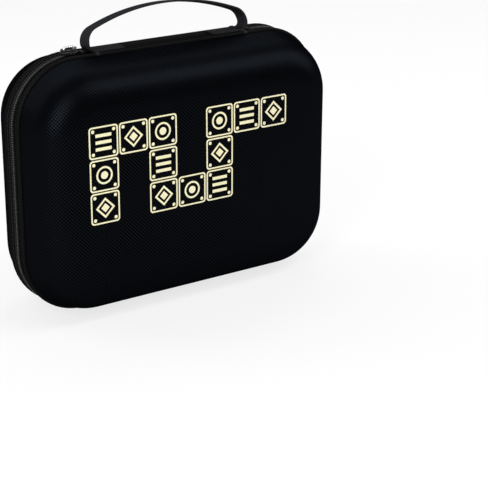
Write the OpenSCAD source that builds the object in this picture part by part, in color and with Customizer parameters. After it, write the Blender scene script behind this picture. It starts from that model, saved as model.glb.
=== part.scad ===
// Moulded zip-up carrying case for a table game: two fabric-covered EVA shells
// that meet at a zipped rim, hinged by a fabric strip along the top, with a
// webbing handle sewn to that strip. Millimetres. The case stands upright on its
// rim: X is its width, -Y its front, +Z up. The origin lies on the floor, under
// the middle of the zip.

/* [Rim] */
// Width of the shells where they meet the rim
rim_w = 218; // [200:1:240]
// Height of the shells where they meet the rim
rim_h = 160; // [146:1:190]
// Corner radius of the rim, seen from the front
corner_r = 40; // [36:1:43]

/* [Shells] */
// Depth of each shell from its rim to its flat face
shell_depth = 31; // [29:1:45]
// Angle at which the walls lean in towards the face
wall_draft = 15; // [8:1:18]
// Radius that rounds the walls into the face
edge_r = 25; // [18:1:26]
// Thickness of the moulded foam with its outer fabric
shell_t = 3; // [2.75:0.25:3.75]
// Thickness of the lining inside each shell
lining_t = 1; // [0.6:0.1:1.6]

/* [Binding] */
// Diameter of the piping bead along each rim
bead_d = 3.2; // [2.8:0.1:3.4]
// How far the bead stands out past the shell
bead_proud = 1.4; // [1.2:0.1:1.5]
// Thickness of the seam tape that covers the raw edges inside
seam_t = 1.3; // [0.8:0.1:1.6]

/* [Zip] */
// Width of the closed zip coil
coil_w = 5.8; // [5:0.1:6]
// Height of the coil above its tape
coil_h = 1.45; // [1:0.05:1.5]
// Thickness of the zip tape
tape_t = 0.7; // [0.5:0.05:0.8]
// Gap between the two halves of the zip
zip_gap = 0.16; // [0.1:0.02:0.3]

/* [Zip slider] */
// Length of the slider along the zip
slider_l = 11; // [9:0.5:12]
// Clearance between the slider's side flanges and the coil
flange_gap = 0.6; // [0.3:0.1:0.8]
// Thickness of the slider's two plates
plate_t = 0.95; // [0.8:0.05:1.1]
// Width of the bridge that holds the pull
bridge_w = 1.8; // [1.4:0.1:2.2]
// Wire diameter of the pull ring
ring_d = 1.2; // [1:0.1:1.4]
// Length of the pull ring, outside
ring_l = 9.4; // [8.8:0.2:14]
// Width of the pull ring, outside
ring_w = 6.4; // [6:0.2:8]

/* [Hinge strip] */
// Distance from each end of the hinge strip to the rim's corners
hinge_margin = 15; // [15:0.5:24]
// Thickness of the doubled hinge fabric
strip_t = 1.2; // [0.8:0.1:1.4]

/* [Handle] */
// Width of the webbing
strap_w = 11; // [9:0.5:11]
// Thickness of the webbing
strap_t = 1.4; // [1:0.1:1.6]
// How far the loop stands out past each end of the hinge strip
leg_out = 4.5; // [4.5:0.1:6]
// Height of the loop above the strip
handle_rise = 24.6; // [22:0.2:34]
// Radius of the loop's two side curves
side_r = 9.7; // [8:0.1:13]
// Length of each webbing end sewn to the strip
tail_l = 21; // [15:1:26]
// Radius at which the webbing turns up from the strip
bend_r = 4; // [3:0.5:5]
// How far the loop leans back at rest
handle_lean = 11; // [0:1:14]

/* [Foam tray] */
// Distance from the shells' outline to the well, at its left and right
well_side = 19; // [19:0.5:26]
// Distance from the shells' outline to the well, at its top and bottom
well_end = 28; // [27:0.5:34]
// Corner radius of the well
well_r = 4; // [2:0.5:8]
// Thickness of the sheet that the tray is moulded from
tray_wall = 3; // [2:0.1:5]
// Radius of the finger scoops above and below the well
scoop_r = 11; // [8:1:13]
// Depth of the finger scoops
scoop_d = 19.5; // [14:0.5:20]
// Clearance between the tray and the lining
tray_gap = 0.3; // [0.2:0.1:1]

/* [Mesh pocket] */
// Height of the pocket above the bottom of the rim
pocket_h = 108; // [80:1:120]
// Thickness of the mesh
mesh_t = 0.6; // [0.4:0.1:1]
// Width of the elastic along the pocket's mouth
elastic_w = 9; // [6:0.5:14]
// Thickness of the elastic
elastic_t = 1.4; // [1:0.1:2]

/* [Hidden] */
$fn = 96;

fabric_black = [0.055, 0.065, 0.08];
binding_grey = [0.13, 0.13, 0.14];
webbing_grey = [0.16, 0.16, 0.17];
lining_black = [0.05, 0.05, 0.055];
foam_black = [0.08, 0.08, 0.085];
metal = [0.75, 0.76, 0.78];

eps = 0.05;                              // air between solids that only touch
lap = 1;                                 // overlap of pieces joined into one solid
strip_half = strap_w / 2 + 0.1;          // half the hinge strip's width
bead_in = strip_half + 0.15;             // zip plane to the bead's near side
bead_at = bead_in + bead_d / 2;          // zip plane to the bead's middle
band = bead_in + bead_d + eps;           // zip plane to the edge of a shell
rim_mid = bead_proud + rim_h / 2;        // height of the rim's middle
rim_top = bead_proud + rim_h;            // height of the shells' top edge
face_at = band + shell_depth;            // zip plane to the outer face
side_x = rim_w / 2 - corner_r;           // where the top's straight stretch ends
bead_out = bead_proud - bead_d / 2;      // bead's middle past the shell's outline
hinge_l = 2 * (side_x - hinge_margin);
handle_half = hinge_l / 2 + leg_out;     // zip's middle to the loop's outside

// The shell's section. x runs out from the rim's outline, y away from the zip.
wall_l = (shell_depth - edge_r * (1 - sin(wall_draft))) / cos(wall_draft);
edge_at = [-wall_l * sin(wall_draft) - edge_r * cos(wall_draft),
    band + wall_l * cos(wall_draft) - edge_r * sin(wall_draft)];

tape_top = -0.3;                         // tape's outer face, from the outline
tape_edge = 0.6;                         // zip plane to the tape's edge under the coil
tape_end = hinge_l / 2 + 0.2;            // where the tapes start beside the strip
tape_knee = bead_in - 1.1;               // where the tape dips under the bead
dip_end = bead_at - 0.75;                // where the dip ends
dip_lead = 0.3;                          // the inner face dips this much sooner
tape_under = bead_out - bead_d / 2 - eps;
seam_in = tape_under - tape_t;           // tape's inner face under the bead
seam_at = coil_w / 2 + 2.3;              // zip plane to the seam tape's free edge
coil_top = tape_top + coil_h;
coil_bevel = 0.45;

slot_gap = 0.5;                          // slider's clearance to tape and coil
stop_l = 2;                              // zip stops along the zip
stop_w = 2.2;
stop_h = 1.9;
stop_low = tape_top + eps;
stop_gap = 0.4;
slider_park = 2.6;                       // the closed slider's way to its top stops
top_stop_x = -handle_half - stop_gap - stop_l / 2;
slider_end = top_stop_x - stop_l / 2 - slider_park;   // its end that faces the handle
slider_x = slider_end - slider_l / 2;    // the slider waits where the corner starts
plate_low = coil_top + slot_gap;         // underside of the slider's top plate
plate_high = plate_low + plate_t;
low_inset = 1;                           // the lower plate ends this much sooner
flange_t = 0.8;                          // side flanges of the slider
flange_inset = 3;
slider_w = coil_w + 2 * (flange_gap + flange_t);
post_l = 2;                              // wedge that joins the two plates
post_w = 2 * (tape_edge - 0.15);
post_x = slider_end - 2.4;               // the wedge's middle
coil_start = post_x - post_l / 2 - 0.2;
bottom_stop_x = handle_half + stop_gap + stop_l / 2;
coil_end = bottom_stop_x + stop_l / 2 + stop_gap;
ring_gap = 0.4;                          // the ring's play under its bridge
ring_r = (ring_w - ring_d) / 2;          // pull ring's end radius, to the wire's middle
ring_x = slider_end - 2.3;               // the ring's pivot
ring_z = plate_high + ring_d / 2 + 0.3;
ring_far = ring_l - 1.5 * ring_d;        // pivot to the inside of the far end
bridge_bar = 1.1;                        // thickness of the bridge
bridge_low = ring_z + ring_d / 2 + ring_gap;
bridge_x1 = ring_x - ring_far + ring_gap + bridge_bar;   // bridge's far leg
bridge_x2 = ring_x + ring_d / 2 + ring_gap;              // bridge's near leg

strip_top = strip_t / 2;                 // the strip lies across the outline
loop_x = handle_half - strap_t / 2;      // middle of the webbing, at the widest
loop_z = handle_rise - strap_t / 2;
leg_z = bend_r + strap_t / 2 + 0.3;      // where the loop's sides stand upright
side_cx = loop_x - side_r;               // middle of the loop's side curve
loop_h = loop_z - leg_z;
top_r = (pow(side_cx, 2) + pow(loop_h, 2) - pow(side_r, 2)) / (2 * (loop_h - side_r));
join_a = atan2(top_r - loop_h, side_cx); // where the side curve meets the top curve
join_lap = 0.5;                          // the two curves overlap by this angle
cut_a = 18;                              // where the stiff loop starts on its side
pivot_z = 2;                             // the loop bends over at this height
leg_steps = 8;
leg_end = 0.015;                         // air at each end of a leg, as a share of it
bend_share = 0.65;                       // share of a leg that lies in its bend
slice_t = 0.02;

tray_t = shell_t + lining_t + tray_gap;  // tray's outer face, from the shell's
tray_top = 5;                            // zip plane to the tray's top
well_w = rim_w - 2 * well_side;
well_h = rim_h - 2 * well_end;
well_d = face_at - tray_t - tray_wall - tray_top;
pocket_at = band - 2.2;                  // zip plane to the mesh's outer side
pocket_z = bead_proud + pocket_h;
pocket_r = corner_r + seam_in - seam_t - 2 * eps;

// ---- placing -------------------------------------------------------------

// Turns the lying half, with its depth along +Z, into the front or back half.
module front() translate([0, 0, rim_mid]) rotate([90, 0, 0]) children();
module back() mirror([0, 1, 0]) front() children();
// Puts a piece on the top of the rim, with z measured from the shells' outline.
module on_top() translate([0, 0, rim_top]) children();

// Runs a section round one corner of the rim; k counts the corners from the
// top right, counter-clockwise from the front.
module rim_corner(k) {
    sx = (k == 0 || k == 3) ? 1 : -1;
    sy = k < 2 ? 1 : -1;
    translate([sx * side_x, sy * (rim_h / 2 - corner_r), 0]) rotate(90 * k)
        rotate_extrude(angle = 90) translate([corner_r, 0]) children();
}

// Runs a section along a straight edge; k = 0 right, 1 top, 2 left, 3 bottom.
module rim_edge(k) {
    along = k % 2 == 0 ? rim_h - 2 * corner_r : rim_w - 2 * corner_r;
    out = k % 2 == 0 ? rim_w / 2 : rim_h / 2;
    rotate(90 * k) translate([out, 0, 0]) rotate([90, 0, 0])
        linear_extrude(along, center = true) children();
}

// A stretch of the top edge from x1 to x2.
module top_stretch(x1, x2) {
    translate([(x1 + x2) / 2, 0, 0]) rotate(90) translate([rim_h / 2, 0, 0])
        rotate([90, 0, 0]) linear_extrude(x2 - x1, center = true) children();
}

// The whole rim.
module round_rim() {
    for (k = [0:3]) {
        rim_corner(k) children();
        rim_edge(k) children();
    }
}

// The rim without the hinge: the zip's way round, from x1 on the left of the
// top round the bottom to x2 on the right of the top.
module zip_way(x1, x2) {
    for (k = [0:3]) rim_corner(k) children();
    for (k = [0, 2, 3]) rim_edge(k) children();
    top_stretch(-side_x, x1) children();
    top_stretch(x2, side_x) children();
}

// ---- shells --------------------------------------------------------------

// All that lies inside the shell's outer face, moved in by t. The straight part
// runs a little way into the arc, so that the two are one solid.
module wall_fill(t, start = band) {
    foot = -t / cos(wall_draft);
    arc_r = edge_r - t;
    meet = edge_at + arc_r * [cos(wall_draft), sin(wall_draft)];
    into = edge_at + 0.9 * arc_r * [cos(wall_draft + 10), sin(wall_draft + 10)];
    polygon([[-corner_r, start], [foot, start], [foot, band], meet, into, edge_at,
        [edge_at[0], face_at - t], [-corner_r, face_at - t]]);
    intersection() {
        translate(edge_at) circle(arc_r);
        polygon([edge_at, edge_at + 2 * edge_r * [cos(wall_draft), sin(wall_draft)],
            edge_at + 2 * edge_r * [1, 1], edge_at + [0, 2 * edge_r]]);
    }
}

// A layer of the shell between two depths below its outer face.
module shell_layer(t1, t2) {
    round_rim() difference() {
        wall_fill(t1);
        wall_fill(t2);
    }
    translate([-side_x - lap, corner_r - rim_h / 2 - lap, face_at - t2])
        cube([2 * (side_x + lap), rim_h - 2 * corner_r + 2 * lap, t2 - t1]);
}

module half_shell() shell_layer(0, shell_t);
module half_lining() shell_layer(shell_t, shell_t + lining_t);

// ---- rim: binding, zip, seam tape ----------------------------------------

module half_binding() round_rim() translate([bead_out, bead_at]) circle(d = bead_d, $fn = 32);

// The tape is flat beside the zip and dips under the bead to the shell's edge.
module tape_section() {
    low = tape_top - tape_t;
    polygon([[tape_top, tape_edge], [tape_top, tape_knee], [tape_under, dip_end],
        [tape_under, band], [seam_in, band], [seam_in, dip_end - dip_lead],
        [low, tape_knee - dip_lead], [low, tape_edge]]);
}
module half_zip_tape() zip_way(-tape_end, tape_end) tape_section();

// The coil's outside: the turns of its wire fill this section.
module coil_section() {
    inner = zip_gap / 2;
    outer = coil_w / 2;
    polygon([[tape_top, inner], [coil_top - coil_bevel / 2, inner], [coil_top, inner + coil_bevel],
        [coil_top, outer - coil_bevel], [coil_top - coil_bevel, outer], [tape_top, outer]]);
}
module half_zip_coil() zip_way(coil_start, coil_end) coil_section();

module half_seam_tape() round_rim() translate([seam_in - seam_t - eps, seam_at])
    square([seam_t, band - seam_at - eps]);

module half_top_stop() top_stretch(top_stop_x - stop_l / 2, top_stop_x + stop_l / 2)
    translate([stop_low, zip_gap]) square([stop_h, stop_w]);

// ---- inside --------------------------------------------------------------

// A block that fills a half from tray_top down to the lining.
module tray_block() {
    round_rim() wall_fill(tray_t, tray_top);
    translate([-side_x - lap, corner_r - rim_h / 2 - lap, tray_top])
        cube([2 * (side_x + lap), rim_h - 2 * corner_r + 2 * lap, face_at - tray_t - tray_top]);
}

// The well and its two finger scoops, all grown by a wall's thickness.
module well_and_scoops(grow) {
    r = well_r + grow;
    translate([0, 0, tray_top - lap]) linear_extrude(well_d + grow + lap) {
        for (sx = [-1, 1], sy = [-1, 1])
            translate([sx * (well_w / 2 - well_r), sy * (well_h / 2 - well_r)]) circle(r, $fn = 32);
        square([well_w + 2 * grow, well_h - 2 * well_r], center = true);
        square([well_w - 2 * well_r, well_h + 2 * grow], center = true);
    }
    for (side = [-1, 1]) translate([0, side * well_h / 2, tray_top - lap])
        cylinder(r = scoop_r + grow, h = scoop_d + grow + lap);
}

// The tray is moulded from one sheet, so it is hollow underneath.
module half_tray() difference() {
    tray_block();
    well_and_scoops(0);
    difference() {
        translate([-rim_w / 2, -rim_h / 2, tray_top + tray_wall]) cube([rim_w, rim_h, shell_depth]);
        well_and_scoops(tray_wall);
    }
}

// Outline of the space inside the seam tapes.
module inside_outline() {
    for (sx = [-1, 1], sy = [-1, 1])
        translate([sx * side_x, sy * (rim_h / 2 - corner_r)]) circle(pocket_r);
    square([2 * (side_x + pocket_r), rim_h - 2 * corner_r], center = true);
    square([2 * side_x, rim_h - 2 * corner_r + 2 * pocket_r], center = true);
}
module inside_slice(z1, z2) intersection() {
    inside_outline();
    translate([-rim_w / 2, z1 - rim_mid]) square([rim_w, z2 - z1]);
}

// ---- slider --------------------------------------------------------------

// A plate with half-round ends, its length along X.
module slider_plate(l, w, t) {
    nose = w / 3;
    linear_extrude(t) {
        for (sx = [-1, 1], sy = [-1, 1])
            translate([sx * (l / 2 - nose), sy * (w / 2 - nose)]) circle(nose, $fn = 32);
        square([l, w - 2 * nose], center = true);
        square([l - 2 * nose, w], center = true);
    }
}

module slider_solid() {
    low_top = tape_top - tape_t - slot_gap;
    translate([slider_x, 0, plate_low]) slider_plate(slider_l, slider_w, plate_t);
    translate([slider_x, 0, low_top - plate_t])
        slider_plate(slider_l - 2 * low_inset, slider_w, plate_t);
    translate([post_x - post_l / 2, -post_w / 2, low_top - plate_t / 2])
        cube([post_l, post_w, plate_low - low_top + plate_t]);
    flange_l = slider_l - 2 * flange_inset;
    flange_low = tape_top + slot_gap;
    flange_h = plate_low - flange_low + plate_t / 2;
    for (side = [-1, 1]) translate([slider_x, side * (slider_w - flange_t) / 2, flange_low])
        translate([-flange_l / 2, -flange_t / 2, 0]) cube([flange_l, flange_t, flange_h]);
}

module bridge_solid() {
    translate([bridge_x1 - bridge_bar, -bridge_w / 2, plate_high])
        cube([bridge_bar, bridge_w, bridge_low - plate_high + bridge_bar]);
    translate([bridge_x2, -bridge_w / 2, plate_high])
        cube([bridge_bar, bridge_w, bridge_low - plate_high + bridge_bar]);
    translate([bridge_x1 - bridge_bar, -bridge_w / 2, bridge_low])
        cube([bridge_x2 - bridge_x1 + 2 * bridge_bar, bridge_w, bridge_bar]);
}

// A stadium of wire that lies flat, its near end round the pivot.
module ring_solid() {
    straight = ring_l - ring_w;
    far_x = ring_x + ring_d / 2 - ring_l + ring_w / 2;
    translate([far_x, 0, ring_z]) rotate(90) rotate_extrude(angle = 180)
        translate([ring_r, 0]) circle(d = ring_d, $fn = 24);
    translate([far_x + straight, 0, ring_z]) rotate(-90) rotate_extrude(angle = 180)
        translate([ring_r, 0]) circle(d = ring_d, $fn = 24);
    for (side = [-1, 1]) translate([far_x, side * ring_r, ring_z]) rotate([0, 90, 0])
        cylinder(d = ring_d, h = straight, $fn = 24);
}

// ---- handle --------------------------------------------------------------

// Webbing of a circular stretch: middle c, radius r, from angle a1 to a2.
module webbing_arc(c, r, a1, a2) {
    far = 2 * r;
    mid = (a1 + a2) / 2;
    intersection() {
        translate(c) difference() {
            circle(r + strap_t / 2, $fn = 180);
            circle(r - strap_t / 2, $fn = 180);
        }
        polygon([c, c + far * [cos(a1), sin(a1)], c + far * [cos(mid), sin(mid)],
            c + far * [cos(a2), sin(a2)]]);
    }
}

// The loop seen from the front, above the cuts to its two legs.
module loop_outline() {
    webbing_arc([0, loop_z - top_r], top_r, join_a, 180 - join_a);
    for (side = [0, 1]) mirror([side, 0])
        webbing_arc([side_cx, leg_z], side_r, cut_a, join_a + join_lap);
}

// Leans what is above the strip back by a; z = 0 is the strip's top.
module lean(a) translate([0, 0, pivot_z]) rotate([-a, 0, 0]) translate([0, 0, -pivot_z]) children();

// One thin slice of a leg; t runs from the tail, 0, to the loop, 1.
module leg_slice(t) {
    in_bend = t < bend_share;
    a = in_bend ? -90 + 90 * t / bend_share : cut_a * (t - bend_share) / (1 - bend_share);
    c = in_bend ? [loop_x - bend_r, bend_r + strap_t / 2] : [side_cx, leg_z];
    r = in_bend ? bend_r : side_r;
    lean(handle_lean * t) translate([c[0] + r * cos(a), 0, c[1] + r * sin(a)])
        rotate([0, -a, 0]) cube([strap_t, strap_w, slice_t], center = true);
}
function leg_at(i) = leg_end + (1 - 2 * leg_end) * i / leg_steps;

module on_strip() on_top() translate([0, 0, strip_top]) children();

// ---- nodes ---------------------------------------------------------------

module back_shell() color(fabric_black) back() half_shell();
module back_lining() color(lining_black) back() half_lining();
module back_binding() color(binding_grey) back() half_binding();
module back_zip_tape() color(binding_grey) back() half_zip_tape();
module back_zip_coil() color(binding_grey) back() half_zip_coil();
module back_seam_tape() color(lining_black) back() half_seam_tape();
module back_top_stop() color(metal) back() half_top_stop();
module bottom_stop() color(metal) on_top()
    translate([bottom_stop_x - stop_l / 2, -stop_w, stop_low]) cube([stop_l, 2 * stop_w, stop_h]);
module foam_tray() color(foam_black) back() half_tray();

module front_shell() color(fabric_black) front() half_shell();
module front_lining() color(lining_black) front() half_lining();
module front_binding() color(binding_grey) front() half_binding();
module front_zip_tape() color(binding_grey) front() half_zip_tape();
module front_zip_coil() color(binding_grey) front() half_zip_coil();
module front_seam_tape() color(lining_black) front() half_seam_tape();
module front_top_stop() color(metal) front() half_top_stop();
module mesh_pocket() color(lining_black) front() translate([0, 0, pocket_at - mesh_t])
    linear_extrude(mesh_t) inside_slice(bead_proud, pocket_z - elastic_w);
module pocket_elastic() color(webbing_grey) front() translate([0, 0, pocket_at - elastic_t])
    linear_extrude(elastic_t) inside_slice(pocket_z - elastic_w + eps, pocket_z);

module hinge_strip() color(binding_grey) on_top()
    translate([-hinge_l / 2, -strip_half, -strip_t / 2]) cube([hinge_l, 2 * strip_half, strip_t]);
module handle_tails() color(webbing_grey) on_strip() for (side = [0, 1]) mirror([side, 0, 0])
    translate([loop_x - bend_r - tail_l, -strap_w / 2, 0]) cube([tail_l, strap_w, strap_t]);
module handle_legs() color(webbing_grey) on_strip() for (side = [0, 1]) mirror([side, 0, 0])
    for (i = [0:leg_steps - 1]) hull() {
        leg_slice(leg_at(i));
        leg_slice(leg_at(i + 1));
    }
module handle_strap() color(webbing_grey) on_strip() lean(handle_lean) rotate([90, 0, 0])
    linear_extrude(strap_w, center = true) loop_outline();

module slider_body() color(metal) on_top() slider_solid();
module slider_bridge() color(metal) on_top() bridge_solid();
module pull_ring() color(metal) on_top() ring_solid();

back_shell();
back_lining();
back_binding();
back_zip_tape();
back_zip_coil();
back_seam_tape();
back_top_stop();
bottom_stop();
foam_tray();
front_shell();
front_lining();
front_binding();
front_zip_tape();
front_zip_coil();
front_seam_tape();
front_top_stop();
mesh_pocket();
pocket_elastic();
hinge_strip();
handle_tails();
handle_legs();
handle_strap();
slider_body();
slider_bridge();
pull_ring();
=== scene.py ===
# %% [markdown]
# # A moulded zip-up game case
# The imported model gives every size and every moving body. This script gives the
# case its looks: woven cloth over the moulded shells, piping, a zip with real
# turns, a webbing handle, a metal slider, and the soft parts inside.
# Everything is in metres. X is the width, -Y the front and +Z up.

import math

import bmesh
import bpy
from mathutils import Matrix, Vector, noise


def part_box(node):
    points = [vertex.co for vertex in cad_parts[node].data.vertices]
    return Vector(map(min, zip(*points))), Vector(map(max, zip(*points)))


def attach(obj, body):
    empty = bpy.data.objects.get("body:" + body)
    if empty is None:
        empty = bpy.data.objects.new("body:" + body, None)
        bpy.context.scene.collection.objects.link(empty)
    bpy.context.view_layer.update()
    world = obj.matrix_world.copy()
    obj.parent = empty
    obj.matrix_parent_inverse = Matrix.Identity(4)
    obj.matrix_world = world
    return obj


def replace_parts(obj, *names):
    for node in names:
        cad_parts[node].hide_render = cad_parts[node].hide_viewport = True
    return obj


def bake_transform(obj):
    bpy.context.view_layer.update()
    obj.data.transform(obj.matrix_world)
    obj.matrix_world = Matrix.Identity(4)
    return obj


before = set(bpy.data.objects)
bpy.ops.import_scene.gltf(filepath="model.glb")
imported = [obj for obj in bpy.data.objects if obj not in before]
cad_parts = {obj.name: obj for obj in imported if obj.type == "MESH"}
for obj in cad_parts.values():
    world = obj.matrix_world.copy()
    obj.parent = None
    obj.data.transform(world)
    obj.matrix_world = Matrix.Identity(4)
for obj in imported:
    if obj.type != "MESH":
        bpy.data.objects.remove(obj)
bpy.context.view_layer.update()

# %% [markdown]
# ## Sizes
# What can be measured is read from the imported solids, so that the looks follow
# them. A section of the rim is given by two numbers: `out`, the distance past
# the shells' outline, and `depth`, the distance from the middle of the zip.

# %% Sizes
mm = 0.001
HALVES = (("front", -1, "lid"), ("back", 1, "back"))
bead_low, bead_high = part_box("front_binding")
bead_proud = 1.4 * mm
bead_t = bead_high.y - bead_low.y
rim_w = bead_high.x - bead_low.x - 2 * bead_proud
rim_h = bead_high.z - bead_low.z - 2 * bead_proud
rim_mid = (bead_high.z + bead_low.z) / 2
rim_top = rim_mid + rim_h / 2
shell_low, shell_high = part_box("front_shell")
band = -shell_high.y
face_at = -shell_low.y
corner_r = 40 * mm
side_x = rim_w / 2 - corner_r
side_z = rim_h / 2 - corner_r
draft = math.radians(15)
edge_r = 25 * mm
shell_t = 3 * mm
lining_t = 1 * mm
print("rim", round(rim_w / mm, 2), "by", round(rim_h / mm, 2), "mm, half depth", round(face_at / mm, 2))

# %% The centre of the shells' round edge
wall_l = (face_at - band - edge_r * (1 - math.sin(draft))) / math.cos(draft)
edge_out = -wall_l * math.sin(draft) - edge_r * math.cos(draft)
edge_depth = band + wall_l * math.cos(draft) - edge_r * math.sin(draft)
print("round edge centre, mm:", round(edge_out / mm, 2), round(edge_depth / mm, 2))

# %% [markdown]
# ## Writing materials as arithmetic
# Shader graphs are easier to read as formulas. A `Wire` holds one socket, and
# Python's own operators on it add Math nodes. A `Graph` is a tree of nodes, and
# a `Finish` is the graph of one material.

# %% Wire
COLOUR_IN, COLOUR_OUT = (6, 7), 2


class Wire:
    """A socket of a graph, on which arithmetic adds Math nodes."""

    def __init__(self, graph, socket):
        self.graph = graph
        self.socket = socket

    def __add__(self, other):
        return self.graph.maths("ADD", self, other)

    def __sub__(self, other):
        return self.graph.maths("SUBTRACT", self, other)

    def __rsub__(self, other):
        return self.graph.maths("SUBTRACT", other, self)

    def __mul__(self, other):
        return self.graph.maths("MULTIPLY", self, other)

    __radd__ = __add__
    __rmul__ = __mul__

    def clamp(self):
        return self.graph.maths("ADD", self, 0.0, use_clamp=True)

    def sin(self):
        return self.graph.maths("SINE", self)

    def fract(self):
        return self.graph.maths("FRACT", self)

    def above(self, edge):
        return self.graph.maths("GREATER_THAN", self, edge)

    def triangle(self):
        """A ramp from 0 up to 1 and back, once for each whole number."""
        return self.graph.maths("PINGPONG", self, 0.5) * 2.0


# %% Graph
class Graph:
    """A tree of shader nodes."""

    def __init__(self, tree):
        self.nodes = tree.nodes
        self.links = tree.links

    def node(self, kind, settings=None, values=(), out=0, **named):
        """Adds a node: its settings first, then its sockets by place or by name."""
        made = self.nodes.new(kind)
        for key, value in (settings or {}).items():
            setattr(made, key, value)
        for place, value in enumerate(values):
            self.feed(made.inputs[place], value)
        for key, value in named.items():
            self.feed(made.inputs[key.replace("_", " ")], value)
        return Wire(self, made.outputs[out])

    def feed(self, socket, value):
        if isinstance(value, Wire):
            self.links.new(value.socket, socket)
        elif value is not None:
            socket.default_value = value

    def maths(self, operation, *values, use_clamp=False):
        settings = {"operation": operation, "use_clamp": use_clamp}
        return self.node("ShaderNodeMath", settings, values)

    def seen(self, in_gloss):
        """1 where the camera or glass looks, in_gloss in reflections, and 0 for other light."""
        path = self.nodes.new("ShaderNodeLightPath")
        camera, gloss, glass = [Wire(self, path.outputs[f"Is {kind} Ray"])
                                for kind in ("Camera", "Glossy", "Transmission")]
        return self.maths("MAXIMUM", self.maths("MAXIMUM", camera, gloss * in_gloss), glass)


# %% Finish
class Finish(Graph):
    """One material, built around a Principled shader."""

    def __init__(self, name, **shader):
        self.material = bpy.data.materials.new(name)
        self.material.use_nodes = True
        super().__init__(self.material.node_tree)
        self.shader = self.nodes["Principled BSDF"]
        for key, value in shader.items():
            self.set(key.replace("_", " "), value)

    def set(self, name, value):
        self.feed(self.shader.inputs[name], value)

    def blend(self, factor, first, second):
        """Colour between two colours."""
        made = self.nodes.new("ShaderNodeMix")
        made.data_type = "RGBA"
        self.feed(made.inputs[0], factor)
        for place, value in zip(COLOUR_IN, (first, second)):
            self.feed(made.inputs[place], value)
        return Wire(self, made.outputs[COLOUR_OUT])

    def place(self, source="Object", scale=1000.0):
        """A point in millimetres, from Object or UV: the vector, then its three parts."""
        made = self.nodes.new("ShaderNodeTexCoord")
        scaled = self.node("ShaderNodeVectorMath", {"operation": "SCALE"},
                           (Wire(self, made.outputs[source]),), Scale=scale)
        parts = self.nodes.new("ShaderNodeSeparateXYZ")
        self.feed(parts.inputs[0], scaled)
        return [scaled] + [Wire(self, socket) for socket in parts.outputs]

    def speckle(self, vector, scale, detail=2.0):
        """Noise from 0 to 1; scale is its number of waves in a millimetre."""
        return self.node("ShaderNodeTexNoise", None, (vector,), Scale=scale, Detail=detail)

    def relief(self, height, distance):
        """Bumps the surface; height goes from 0 to 1 and distance is in metres."""
        bump = self.node("ShaderNodeBump", None, (), Height=height, Distance=distance, Strength=1.0)
        self.set("Normal", bump)
        return bump

    def mix_over(self, share, layer):
        """Lays a share of another shader over the Principled one."""
        ground = Wire(self, self.shader.outputs[0])
        mixed = self.node("ShaderNodeMixShader", None, (share, ground, layer))
        self.feed(self.nodes["Material Output"].inputs["Surface"], mixed)


def grey(value, tint=(1.0, 1.0, 1.0)):
    """A colour from a brightness, as the renderer wants it."""
    return tuple(value * t for t in tint) + (1.0,)


# %% [markdown]
# ## Cloths
# All the cloths are black polyester, and what tells them apart is their weave:
# the shells have a basket weave, the piping and the hinge cloth a ribbed plain
# one, the tapes and the webbing a herringbone. Each weave is a height made of
# sines, in millimetres along the cloth. A black cloth shows its weave by its
# gloss, so the thread crowns are smoother and a few thousandths glossier. Their
# colour is also painted lighter than the valleys: painted highlight on the crowns
# and painted shade between the threads. That gloss is a shader of its own, mixed
# in, because a film's gloss would brighten at the rim, and yarn does not.

# %% Cloth
TURN = 2 * math.pi
BLUISH = (0.80, 0.95, 1.20)
CLOUDS = 0.05
FUZZ = 1.7


def cloth(name, weave, base, crown, gloss=0.004, roughness=0.45, lift=0.08 * mm, source="UV",
          tint=(1.0, 1.0, 1.0), sheen=0.0, polish=0.12, contrast=1.0):
    """A cloth whose weave(u, v) gives the height of its threads."""
    finish = Finish(name, Specular_IOR_Level=0.0, Sheen_Weight=sheen, Sheen_Roughness=0.4,
                    Sheen_Tint=grey(1.0, tint))
    vector, u, v, w = finish.place(source)
    height = weave(u, v) if source == "UV" else weave(u + w * 0.31, v + w)
    cloud = finish.speckle(vector, CLOUDS)
    fuzz = finish.speckle(vector, FUZZ)
    # painted highlight and painted shade: the crowns' colour is lighter and the valleys between threads
    # darker, as light falls on them; fuzz and clouds add random tone
    light = ((height - 0.5) * (1.3 * contrast) + fuzz * 0.3 + cloud * 0.4 - 0.05).clamp()
    finish.set("Base Color", finish.blend(light, grey(base, tint), grey(crown, tint)))
    rough = cloud * 0.12 - height * polish + (roughness + polish * 0.5 - 0.06)
    finish.set("Roughness", rough)
    bump = finish.relief(height * 0.85 + fuzz * 0.15, lift)
    crowns = ((height - 0.5) * contrast + 0.5).clamp() * 1.7 + 0.15
    shine = finish.node("ShaderNodeBsdfAnisotropic", None, (), Color=grey(1.0, tint), Roughness=rough,
                        Normal=bump)
    finish.mix_over(crowns * gloss, shine)
    return finish.material


# %% Weaves
def basket(pitch):
    """Thread crowns in a checker, with a faint diagonal through them."""
    def weave(u, v):
        crowns = (u * (TURN / pitch)).sin() * (v * (TURN / pitch)).sin()
        slant = ((u + v) * (TURN / pitch)).sin()
        return (crowns * 0.36 + slant * 0.16 + 0.48).clamp()
    return weave


def ribs(pitch, cross_pitch):
    """A plain weave: ribs along v with a finer thread across them."""
    def weave(u, v):
        rib = (u * (TURN / pitch)).sin() * 0.5 + 0.5
        thread = (v * (TURN / cross_pitch)).sin() * 0.5 + 0.5
        return rib * 0.6 + thread * 0.4
    return weave


def herringbone(pitch, column):
    """Diagonal threads that turn back at each column, as in tape and webbing."""
    def weave(u, v):
        lean = (v * (1.0 / column)).triangle() * (column / pitch)
        thread = ((u * (1.0 / pitch) + lean) * TURN).sin() * 0.5 + 0.5
        seam = 1.0 - ((v * (2.0 / column)).fract() - 0.04).clamp().above(0.0)
        return (thread - seam * 0.5).clamp()
    return weave


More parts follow.
